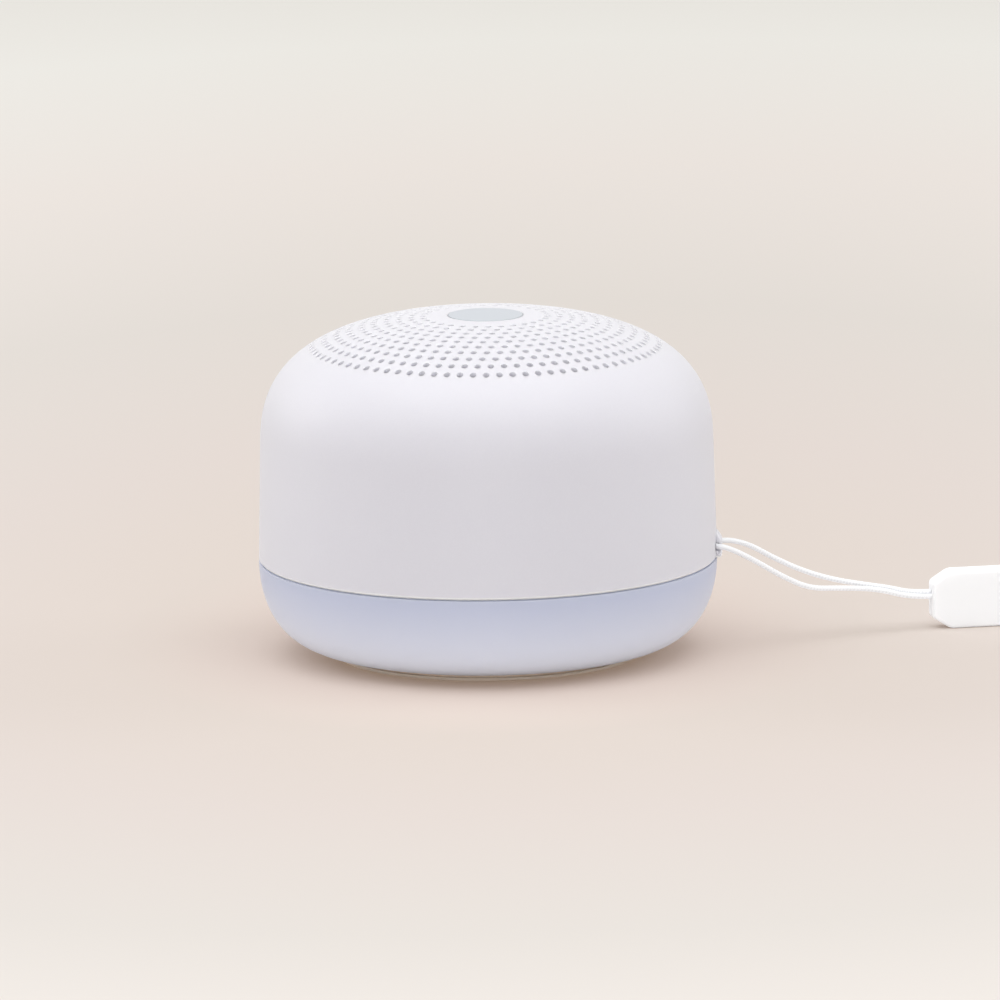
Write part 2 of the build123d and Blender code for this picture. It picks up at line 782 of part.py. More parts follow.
# ---------------------------------------------------------------- lanyard cord
# One cord goes through the eyelet; its two strands run side by side to the strap's head.
front_route = [
    (44.65, 0.0, 21.4),
    (44.65, -0.95, 21.4),
    (45.0, -2.2, 21.4),
    (45.45, -3.3, 21.5),
    (46.65, -3.6, 21.4),
    (48.8, -2.0, 20.3),
    (52.4, 1.1, 17.8),
    (57.4, 5.5, 13.9),
    (62.8, 9.7, 10.5),
    (68.9, 14.2, 9.7),
    (76.0, 18.4, 8.7),
    (82.567, 21.465, 6.4),
    (86.642, 22.481, 6.4),
]
rear_route = [
    (44.65, 0.0, 21.4),
    (44.65, 0.95, 21.4),
    (45.0, 2.2, 21.4),
    (45.9, 3.6, 21.4),
    (48.0, 5.0, 21.1),
    (51.3, 7.0, 19.8),
    (56.0, 10.1, 16.5),
    (61.6, 13.3, 13.3),
    (67.4, 16.2, 11.0),
    (73.4, 18.9, 9.5),
    (78.6, 20.9, 8.4),
    (82.577, 22.251, 7.2),
    (86.458, 23.219, 7.2),
]


def cord_strand(name, route):
    """Write one strand as straight runs joined by the largest tangent arcs that fit."""
    points = [Vector(*point) for point in route]
    runs = [b - a for a, b in zip(points, points[1:])]
    radii = []
    for before, after in zip(runs, runs[1:]):
        turn = before.get_angle(after)
        radii.append(0.45 * min(before.length, after.length) / tan(radians(turn / 2)))
    with BuildPart() as strand:
        with BuildLine() as path:
            FilletPolyline(*points, radius=radii)
        with BuildSketch(Plane(origin=path.line @ 0, z_dir=path.line % 0)):
            Circle(cord_diameter / 2)
        sweep(path=path.line)
    save(strand.part, name)
    print(name, "radii", [round(radius, 2) for radius in radii])
    length = sum(edge.length for edge in path.line.edges())
    print(name, "length", round(length, 2), "volume", round(strand.part.volume, 3))


cord_strand("cord_front", front_route)
cord_strand("cord_rear", rear_route)

# ---------------------------------------------------------------- wrist strap
# One soft band, doubled and bonded into a head, then opened into a wrist loop.
# It stands on its edge, so its outline is drawn in plan: u along the strap, v across it.
along = (cos(radians(strap_yaw)), sin(radians(strap_yaw)), 0)
across = (sin(radians(strap_yaw)), -cos(radians(strap_yaw)), 0)
strap_plan = Plane(origin=(*strap_origin, 0), x_dir=along, z_dir=(0, 0, 1))
strap_side = Plane(origin=(*strap_origin, 0), x_dir=along, z_dir=across)
inner_loop = strap_loop - strap_layer
with BuildPart() as wrist_strap:
    with BuildSketch(strap_plan):
        with BuildLine():
            Line((0, -strap_layer), (0, strap_layer))
            Line((0, strap_layer), (strap_head, strap_layer))
            Bezier((strap_head, strap_layer), (38, strap_layer), (46, strap_loop), (loop_start, strap_loop))
            Line((loop_start, strap_loop), (loop_end, strap_loop))
            ThreePointArc((loop_end, strap_loop), (strap_length, 0), (loop_end, -strap_loop))
            Line((loop_end, -strap_loop), (loop_start, -strap_loop))
            Bezier((loop_start, -strap_loop), (46, -strap_loop), (38, -strap_layer), (strap_head, -strap_layer))
            Line((strap_head, -strap_layer), (0, -strap_layer))
        make_face()
        with BuildLine():
            Bezier((strap_head + 4, 0), (40, 1), (48, inner_loop), (loop_start, inner_loop))
            Line((loop_start, inner_loop), (loop_end, inner_loop))
            ThreePointArc((loop_end, inner_loop), (strap_length - strap_layer, 0), (loop_end, -inner_loop))
            Line((loop_end, -inner_loop), (loop_start, -inner_loop))
            Bezier((loop_start, -inner_loop), (48, -inner_loop), (40, -1), (strap_head + 4, 0))
        make_face(mode=Mode.SUBTRACT)
    extrude(amount=strap_height)
    # the head's corners are cut back
    with BuildSketch(strap_side):
        with BuildLine():
            Polyline((0, 0), (head_cut_length, 0), (0, head_cut_height), close=True)
        make_face()
        with BuildLine():
            top_cut = strap_height - head_cut_height
            Polyline((0, strap_height), (0, top_cut), (head_cut_length, strap_height), close=True)
        make_face()
    extrude(amount=5, both=True, mode=Mode.SUBTRACT)
save(wrist_strap.part, "wrist_strap")
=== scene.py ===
"""A portable sound machine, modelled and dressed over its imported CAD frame.

Every length is in millimetres where it is written and in metres in Blender.
"""

import logging
import math
from collections.abc import Callable, Iterator
from contextlib import contextmanager
from dataclasses import dataclass
from enum import Enum

import bpy
from mathutils import Matrix, Vector


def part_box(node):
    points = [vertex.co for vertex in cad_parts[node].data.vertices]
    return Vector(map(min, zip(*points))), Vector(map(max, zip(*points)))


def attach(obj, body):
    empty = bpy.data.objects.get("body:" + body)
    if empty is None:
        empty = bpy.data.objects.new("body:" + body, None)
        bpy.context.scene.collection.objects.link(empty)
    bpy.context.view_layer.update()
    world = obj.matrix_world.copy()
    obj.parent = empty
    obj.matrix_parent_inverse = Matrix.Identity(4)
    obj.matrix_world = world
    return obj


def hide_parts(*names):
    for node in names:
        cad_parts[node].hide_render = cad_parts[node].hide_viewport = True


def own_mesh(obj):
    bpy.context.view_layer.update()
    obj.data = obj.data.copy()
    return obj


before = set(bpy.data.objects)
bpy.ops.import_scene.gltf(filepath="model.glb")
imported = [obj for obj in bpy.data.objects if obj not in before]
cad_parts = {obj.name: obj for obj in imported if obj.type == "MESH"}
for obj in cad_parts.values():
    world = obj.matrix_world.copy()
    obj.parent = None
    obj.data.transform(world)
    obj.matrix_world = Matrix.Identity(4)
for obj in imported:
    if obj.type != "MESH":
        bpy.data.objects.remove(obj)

MM = 0.001
FULL_TURN = 2 * math.pi
ROUND_HANDLE = 0.5523  # a quarter circle's handle, as a share of its radius

logging.basicConfig(level=logging.INFO, format="%(message)s")
log = logging.getLogger("sound_machine")

Spot = tuple[float, float, float]
Piece = bpy.types.Object
Material = bpy.types.Material
Tree = bpy.types.NodeTree
Socket = bpy.types.NodeSocket
Sockets = bpy.types.bpy_prop_collection
Feeds = dict[str | int, object]
FaceTest = Callable[[bpy.types.MeshPolygon], bool]


class Way(Enum):
    """Named axes along which a round piece can stand."""

    UP = (0.0, 0.0, 0.0)
    REAR = (-math.pi / 2, 0.0, 0.0)


class Join(Enum):
    """Named ways to combine two solids."""

    CUT = "DIFFERENCE"
    FUSE = "UNION"
    KEEP_COMMON = "INTERSECT"


# ---------------------------------------- modelling helpers


def clear_selection() -> None:
    """Leave edit mode and deselect every object."""
    if bpy.context.object and bpy.context.object.mode != "OBJECT":
        bpy.ops.object.mode_set(mode="OBJECT")
    bpy.ops.object.select_all(action="DESELECT")


def take_up(piece: Piece) -> None:
    """Make one piece the only selected one, and the active one."""
    clear_selection()
    piece.select_set(True)
    bpy.context.view_layer.objects.active = piece


@contextmanager
def editing(piece: Piece, faces: FaceTest | None = None) -> Iterator[None]:
    """Open a piece's mesh in edit mode for the steps inside the with block, and close it after them.

    Args:
        piece: the piece to edit.
        faces: a test that says which faces are selected at the start, or None to select everything.
    """
    take_up(piece)
    bpy.ops.object.mode_set(mode="EDIT")
    bpy.ops.mesh.select_mode(type="FACE" if faces else "VERT")
    bpy.ops.mesh.select_all(action="DESELECT" if faces else "SELECT")
    if faces:
        bpy.ops.object.mode_set(mode="OBJECT")
        for face in piece.data.polygons:
            face.select = faces(face)
        bpy.ops.object.mode_set(mode="EDIT")
    yield
    bpy.ops.object.mode_set(mode="OBJECT")


def named(piece: Piece, name: str) -> Piece:
    """Name a piece and its data, and settle its place into its mesh."""
    piece.name = name
    piece.data.name = name
    take_up(piece)
    bpy.ops.object.transform_apply(location=True, rotation=True, scale=True)
    return piece


def combine(piece: Piece, tool: Piece, how: Join) -> None:
    """Apply a boolean of one solid on another, and remove the tool.

    Args:
        piece: the solid that stays.
        tool: the solid that is used up.
        how: cut, fuse or keep the common part.
    """
    take_up(piece)
    step = piece.modifiers.new(how.name.lower(), "BOOLEAN")
    step.operation = how.value
    step.solver = "EXACT"
    step.object = tool
    bpy.ops.object.modifier_apply(modifier=step.name)
    mesh = tool.data
    bpy.data.objects.remove(tool)
    bpy.data.meshes.remove(mesh)


def soften(piece: Piece, width: float, angle: float, steps: int) -> None:
    """Round the sharp edges of a piece with an applied bevel.

    Args:
        piece: the piece to round.
        width: the bevel's width in millimetres.
        angle: the least angle in degrees between two faces that counts as an edge.
        steps: the number of segments across the round.
    """
    take_up(piece)
    bevel = piece.modifiers.new("soft edge", "BEVEL")
    bevel.width = width * MM
    bevel.segments = steps
    bevel.limit_method = "ANGLE"
    bevel.angle_limit = math.radians(angle)
    bevel.use_clamp_overlap = True
    bpy.ops.object.modifier_apply(modifier=bevel.name)


def cut_off(piece: Piece, at: Spot, facing: Spot) -> None:
    """Cut off what lies past a plane through a point in millimetres, on the side that it faces."""
    plane, way = Vector(at) * MM, Vector(facing).normalized()
    with editing(piece):
        bpy.ops.mesh.bisect(plane_co=plane, plane_no=way, clear_outer=True, use_fill=True)


def smooth(piece: Piece, angle: float) -> None:
    """Shade a piece smooth except across edges sharper than an angle in degrees."""
    take_up(piece)
    bpy.ops.object.shade_smooth_by_angle(angle=math.radians(angle))


def rod(name: str, radius: float, length: float, at: Spot, way: Way, sides: int) -> Piece:
    """Add a round bar that starts at a point and runs up or to the rear.

    Args:
        name: the piece's name.
        radius: its radius in millimetres.
        length: its length in millimetres.
        at: the centre of its first end, in millimetres.
        way: the direction that it runs.
        sides: the number of sides.

    Returns:
        The bar, with its place in its mesh.
    """
    clear_selection()
    run = Vector((0, 0, length)) if way is Way.UP else Vector((0, length, 0))
    bpy.ops.mesh.primitive_cylinder_add(
        vertices=sides,
        radius=radius * MM,
        depth=length * MM,
        location=(Vector(at) + run / 2) * MM,
        rotation=way.value,
    )
    return named(bpy.context.object, name)


def block(name: str, low: Spot, high: Spot) -> Piece:
    """Add a box between two corners given in millimetres."""
    clear_selection()
    bpy.ops.mesh.primitive_cube_add(size=1, location=(Vector(low) + Vector(high)) / 2 * MM)
    piece = bpy.context.object
    piece.scale = (Vector(high) - Vector(low)) * MM
    return named(piece, name)


@dataclass(frozen=True)
class Knot:
    """One point of a drawn line, with the handles that bend the line beside it.

    Attributes:
        across: distance from the axis or from the line's start, in millimetres.
        up: height in millimetres, or distance to the rear on a line that lies flat.
        before: the handle on the side of the knot before it, or None for a straight run.
        after: the handle on the side of the knot after it, or None for a straight run.
    """

    across: float
    up: float
    before: tuple[float, float] | None = None
    after: tuple[float, float] | None = None

    def back(self, side: int = 1) -> "Knot":
        """Give this knot to a line that runs back, mirrored across its start if the side is -1."""
        before, after = (handle and (handle[0], handle[1] * side) for handle in (self.after, self.before))
        return Knot(self.across, self.up * side, before, after)


def draw(knots: list[Knot], fineness: int, flat: bool = False) -> Piece:
    """Draw a line through knots as a curve and turn it into edges.

    Args:
        knots: the line, in order.
        fineness: the number of edges along each bent stretch.
        flat: whether the line lies on the ground instead of standing upright.

    Returns:
        A mesh of edges alone.
    """

    def spot(across: float, up: float) -> Vector:
        """Place a point of the line, in metres."""
        return Vector((across, up, 0) if flat else (across, 0, up)) * MM

    clear_selection()
    bpy.ops.curve.primitive_bezier_curve_add(enter_editmode=False, location=(0, 0, 0))
    line = bpy.context.object
    line.data.resolution_u = fineness
    spline = line.data.splines[0]
    spline.bezier_points.add(len(knots) - 2)
    for knot, point in zip(knots, spline.bezier_points):
        point.co = spot(knot.across, knot.up)
        point.handle_left_type = "FREE" if knot.before else "VECTOR"
        point.handle_right_type = "FREE" if knot.after else "VECTOR"
        if knot.before:
            point.handle_left = spot(*knot.before)
        if knot.after:
            point.handle_right = spot(*knot.after)
    bpy.ops.object.convert(target="MESH")
    return bpy.context.object


def lathe(name: str, knots: list[Knot], steps: int = 160, fineness: int = 20) -> Piece:
    """Draw a profile and spin it round the vertical axis.

    Args:
        name: the piece's name.
        knots: the profile, from pole to pole, or round to its own start for a ring.
        steps: the number of faces round the axis.
        fineness: the number of edges along each bent stretch.

    Returns:
        The turned piece, closed, with its faces pointing outwards.
    """
    piece = draw(knots, fineness)
    with editing(piece):
        bpy.ops.mesh.spin(steps=steps, angle=FULL_TURN, center=(0, 0, 0), axis=(0, 0, 1))
        bpy.ops.mesh.select_all(action="SELECT")
        bpy.ops.mesh.remove_doubles(threshold=0.002 * MM)
        bpy.ops.mesh.dissolve_degenerate(threshold=0.0005 * MM)
        bpy.ops.mesh.normals_make_consistent(inside=False)
    return named(piece, name)


def hand_over(piece: Piece, finish: Material, node: str, body: str = "base") -> Piece:
    """Dress a finished piece, hide the CAD node that it stands for and put the piece on its body.

    Args:
        piece: the finished piece.
        finish: its material.
        node: the CAD node that it stands for.
        body: the body that it rides on.

    Returns:
        The same piece.
    """
    piece.data.materials.clear()
    piece.data.materials.append(finish)
    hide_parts(node)
    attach(piece, body)
    return piece


# ---------------------------------------- finishes


def to_linear(code: str) -> tuple[float, float, float, float]:
    """Turn an sRGB hex colour into the linear colour that a shader socket takes.

    Args:
        code: six hex digits after a hash sign.

    Returns:
        Red, green, blue and a full alpha.
    """
    shares = [int(code[i : i + 2], 16) / 255 for i in (1, 3, 5)]
    linear = [s / 12.92 if s <= 0.04045 else ((s + 0.055) / 1.055) ** 2.4 for s in shares]
    return (linear[0], linear[1], linear[2], 1.0)


def add_node(tree: Tree, kind: str, feeds: Feeds | None = None, **settings: object) -> bpy.types.Node:
    """Add one shader node, set it and link or fill its inputs.

    Args:
        tree: the material's node tree.
        kind: the node's Blender type, without the ShaderNode in front.
        feeds: input socket to value, or to the output socket that feeds it.
        settings: the node's own properties.

    Returns:
        The new node.
    """
    node = tree.nodes.new(f"ShaderNode{kind}")
    for key, value in settings.items():
        setattr(node, key, value)
    for socket, value in (feeds or {}).items():
        if isinstance(value, Socket):
            tree.links.new(value, node.inputs[socket])
        else:
            node.inputs[socket].default_value = value
    return node


@dataclass(frozen=True)
class Finish:
    """A material of one Principled shader, which each kind of finish feeds in its own way."""

    name: str

    def look(self, tree: Tree, place: Sockets) -> Feeds:
        """Draw the look.

        Args:
            tree: the material's node tree.
            place: where a point of the surface is, by Object coordinates or by UV.

        Returns:
            What the shader takes.
        """
        raise NotImplementedError

    def build(self) -> Material:
        """Build the material."""
        material = bpy.data.materials.new(self.name)
        material.use_nodes = True
        tree = material.node_tree
        tree.nodes.clear()
        place = add_node(tree, "TexCoord").outputs
        shader = add_node(tree, "BsdfPrincipled", self.look(tree, place))
        add_node(tree, "OutputMaterial", {"Surface": shader.outputs["BSDF"]})
        return material


@dataclass(frozen=True)
class Moulded(Finish):
    """Injection-moulded plastic: an even colour under a fine grain that kills reflections.

    White plastic also lets light spread inside it, over the given millimetres, which fills small
    holes with light.
    """

    colour: str
    shade: str
    grain: float = 0.35
    detail: float = 3.0
    depth: float = 0.012
    roughness: float = 0.5
    ior: float = 1.53
    milkiness: float = 1.0
    spread: float = 0.0

    def shading(self, tree: Tree, place: Sockets, grain: Socket) -> Socket:
        """Say how far each point turns from the colour to the shade: with the grain itself."""
        return grain

    def look(self, tree: Tree, place: Sockets) -> Feeds:
        """Draw the grain, its tint and its bump."""
        grid = {"Vector": place["Object"], "Scale": 1 / (self.grain * MM), "Detail": self.detail}
        grain = add_node(tree, "TexNoise", grid).outputs[0]
        share = self.shading(tree, place, grain)
        mixed = {0: share, 6: to_linear(self.colour), 7: to_linear(self.shade)}
        tint = add_node(tree, "Mix", mixed, data_type="RGBA")
        bump = add_node(tree, "Bump", {"Height": grain, "Distance": self.depth * MM})
        feeds = {
            "Base Color": tint.outputs[2],
            "Normal": bump.outputs[0],
            "Roughness": self.roughness,
            "IOR": self.ior,
        }
        if self.spread:
            feeds["Subsurface Weight"] = self.milkiness
            feeds["Subsurface Radius"] = (1.0, 1.0, 1.0)
            feeds["Subsurface Scale"] = self.spread * MM
        return feeds


@dataclass(frozen=True)
class HighlightedEdgePlastic(Moulded):
    """Moulded plastic with a painted highlight: a pale band along its bottom edge, which draws a pale line
    over the seam.
    """

    # painted highlight: its pale colour, and the height below which it is painted
    highlight_colour: str = "#FDF8F1"
    highlight_top: float = 19.35
    highlight_fade: float = 0.15

    def look(self, tree: Tree, place: Sockets) -> Feeds:
        """Draw the moulded plastic, painted paler below the highlight's top as a painted highlight."""
        feeds = super().look(tree, place)
        height = add_node(tree, "SeparateXYZ", {0: place["Object"]}).outputs[2]
        fade = {"From Min": (self.highlight_top + self.highlight_fade) * MM, "From Max": self.highlight_top * MM}
        share = add_node(tree, "MapRange", {"Value": height, **fade}).outputs[0]
        mixed = {0: share, 6: feeds["Base Color"], 7: to_linear(self.highlight_colour)}
        highlighted = add_node(tree, "Mix", mixed, data_type="RGBA")
        return feeds | {"Base Color": highlighted.outputs[2]}


@dataclass(frozen=True)
class OpalPlastic(Moulded):
    """Opal polycarbonate, with painted light that pales it at the foot and painted shade under the seam."""

    name: str = "opal polycarbonate"
    # painted light at the foot, then painted shade, darker and cooler, under the seam
    colour: str = "#E8EBF5"
    shade: str = "#B9BFD4"
    grain: float = 0.5
    detail: float = 2.0
    depth: float = 0.008
    roughness: float = 0.42
    ior: float = 1.58
    milkiness: float = 0.6
    spread: float = 2.5
    foot_height: float = 2.0
    seam_height: float = 18.8

    def shading(self, tree: Tree, place: Sockets, grain: Socket) -> Socket:
        """Turn with height from the painted light at the foot to the painted shade under the seam."""
        height = add_node(tree, "SeparateXYZ", {0: place["Object"]}).outputs[2]
        climb = {"From Min": self.foot_height * MM, "From Max": self.seam_height * MM}
        return add_node(tree, "MapRange", {"Value": height, **climb}).outputs[0]


@dataclass(frozen=True)
class SoftRubber(Moulded):
    """Silicone rubber: smooth, slightly waxy, with a faint mottle where dust and skin touch it."""

    grain: float = 0.4
    detail: float = 2.0
    depth: float = 0.006
    roughness: float = 0.45
    ior: float = 1.43
    milkiness: float = 0.7
    mottle: float = 4.0
    mottle_detail: float = 4.0

    def shading(self, tree: Tree, place: Sockets, grain: Socket) -> Socket:
        """Turn to the shade in patches as wide as the mottle."""
        grid = {"Vector": place["Object"], "Scale": 1 / (self.mottle * MM), "Detail": self.mottle_detail}
        return add_node(tree, "TexNoise", grid).outputs[0]


@dataclass(frozen=True)
class BraidedCord(Finish):
    """Braided polyester: crossing ribs of yarn, with painted shade that greys the grooves between them."""

    name: str = "braided polyester"
    colour: str = "#F8F9FB"
    shade: str = "#EEEFF1"
    pitch: float = 0.5
    length: float = 54.0
    ribs_round: int = 2
    groove: float = -0.3
    depth: float = 0.012
    roughness: float = 0.75
    sheen: float = 0.3

    def look(self, tree: Tree, place: Sockets) -> Feeds:
        """Draw two sets of ribs that cross along the cord's own map."""
        parts = add_node(tree, "SeparateXYZ", {0: place["UV"]}).outputs
        along, around = (
            add_node(tree, "Math", {0: part, 1: turns * FULL_TURN}, operation="MULTIPLY").outputs[0]
            for part, turns in ((parts[0], self.length / self.pitch), (parts[1], self.ribs_round))
        )
        waves = []
        for how in ("ADD", "SUBTRACT"):
            slant = add_node(tree, "Math", {0: along, 1: around}, operation=how)
            waves.append(add_node(tree, "Math", {0: slant.outputs[0]}, operation="SINE"))
        tops = {0: waves[0].outputs[0], 1: waves[1].outputs[0]}
        ribs = add_node(tree, "Math", tops, operation="MAXIMUM").outputs[0]
        limits = {"From Min": self.groove, "From Max": 1.0}
        level = add_node(tree, "MapRange", {"Value": ribs, **limits}).outputs[0]
        # painted shade: the grooves between the ribs take the grey colour
        mixed = {0: level, 6: to_linear(self.shade), 7: to_linear(self.colour)}
        tint = add_node(tree, "Mix", mixed, data_type="RGBA")
        bump = add_node(tree, "Bump", {"Height": level, "Distance": self.depth * MM})
        return {
            "Base Color": tint.outputs[2],
            "Normal": bump.outputs[0],
            "Roughness": self.roughness,
            "Sheen Weight": self.sheen,
        }


@dataclass(frozen=True)
class PlainMetal(Finish):
    """Drawn or plated metal: fine marks of the tool that vary a soft reflection."""

    colour: str
    roughness: float = 0.32
    mark: float = 0.3
    detail: float = 2.0
    smoother: float = 0.06
    rougher: float = 0.08

    def look(self, tree: Tree, place: Sockets) -> Feeds:
        """Draw the marks in the polish."""
        grid = {"Vector": place["Object"], "Scale": 1 / (self.mark * MM), "Detail": self.detail}
        marks = add_node(tree, "TexNoise", grid)
        limits = {"To Min": self.roughness - self.smoother, "To Max": self.roughness + self.rougher}
        polish = add_node(tree, "MapRange", {"Value": marks.outputs[0], **limits})
        return {"Base Color": to_linear(self.colour), "Metallic": 1.0, "Roughness": polish.outputs[0]}


@dataclass(frozen=True)
class WovenCloth(Finish):
    """Woven cloth: threads about 0.12 mm apart, drawn coarser so that the weave can show."""

    colour: str
    shade: str
    thread: float = 0.3
    roughness: float = 0.9

    def look(self, tree: Tree, place: Sockets) -> Feeds:
        """Draw the weave."""
        grid = {"Vector": place["Object"], "Scale": 1 / (self.thread * MM)}
        weave = add_node(tree, "TexChecker", grid)
        mixed = {0: weave.outputs[1], 6: to_linear(self.colour), 7: to_linear(self.shade)}
        tint = add_node(tree, "Mix", mixed, data_type="RGBA")
        return {"Base Color": tint.outputs[2], "Roughness": self.roughness}


def background_share(tree: Tree) -> Socket:
    """Tell whether a ray shows the background: straight, mirrored or through glass."""
    path = add_node(tree, "LightPath").outputs
    share = path["Is Camera Ray"]
    for ray in ("Is Glossy Ray", "Is Transmission Ray"):
        share = add_node(tree, "Math", {0: share, 1: path[ray]}, operation="MAXIMUM").outputs[0]
    return share


@dataclass(frozen=True)
class PaintedFloor(Finish):
    """A floor painted darker round the object and paler away from it, with a warm painted glow in its
    shadows.

    The reach is how far it goes on paling, in metres: aside, to the rear and to the front.
    """

    name: str = "painted studio floor"
    bounce: str = "#E6E1DE"
    # painted light: a warm glow that lightens the floor's shadows
    glow: str = "#735F4D"
    roughness: float = 0.9
    reach: tuple[float, float, float] = (0.45, 0.8, 0.5)
    # painted shade and light: darker round the object as a wide soft shadow, paler outwards to even out the
    # lamps' falloff
    stops: tuple[tuple[float, str], ...] = (
        (0.08, "#C1B8B4"),
        (0.16, "#B9B5B2"),
        (0.3, "#BBB8B7"),
        (0.5, "#BDBEBD"),
        (0.75, "#CCCCCB"),
        (1.0, "#D5DAD9"),
    )

    def look(self, tree: Tree, place: Sockets) -> Feeds:
        """Draw the painted shade and glow, which only a ray that shows the background sees."""
        parts = add_node(tree, "SeparateXYZ", {0: place["Object"]}).outputs
        side, rear, front = self.reach
        aside, behind, before = (
            add_node(tree, "Math", {0: part, 1: reach}, operation="DIVIDE").outputs[0]
            for part, reach in ((parts[0], side), (parts[1], rear), (parts[1], -front))
        )
        deep = add_node(tree, "Math", {0: behind, 1: before}, operation="MAXIMUM")
        way = add_node(tree, "CombineXYZ", {0: aside, 1: deep.outputs[0]})
        far = add_node(tree, "VectorMath", {0: way.outputs[0]}, operation="LENGTH")
        painted_shade_sweep = add_node(tree, "ValToRGB", {0: far.outputs["Value"]})
        stops = painted_shade_sweep.color_ramp.elements
        while len(stops) < len(self.stops):
            stops.new(1.0)
        for stop, (position, colour) in zip(stops, self.stops):
            stop.position = position
            stop.color = to_linear(colour)
        seen = background_share(tree)
        mixed = {0: seen, 6: to_linear(self.bounce), 7: painted_shade_sweep.outputs[0]}
        tint = add_node(tree, "Mix", mixed, data_type="RGBA")
        return {
            "Base Color": tint.outputs[2],
            # painted light: the floor glows its warm colour for background rays only
            "Emission Strength": seen,
            "Emission Color": to_linear(self.glow),
            "Roughness": self.roughness,
            "Specular IOR Level": 0.0,
        }


# ---------------------------------------- the piece classes


@dataclass(frozen=True)
class Recess:
    """A recess with round ends in the rear wall, from its start outwards."""

    name: str
    width: float
    height: float
    start: float


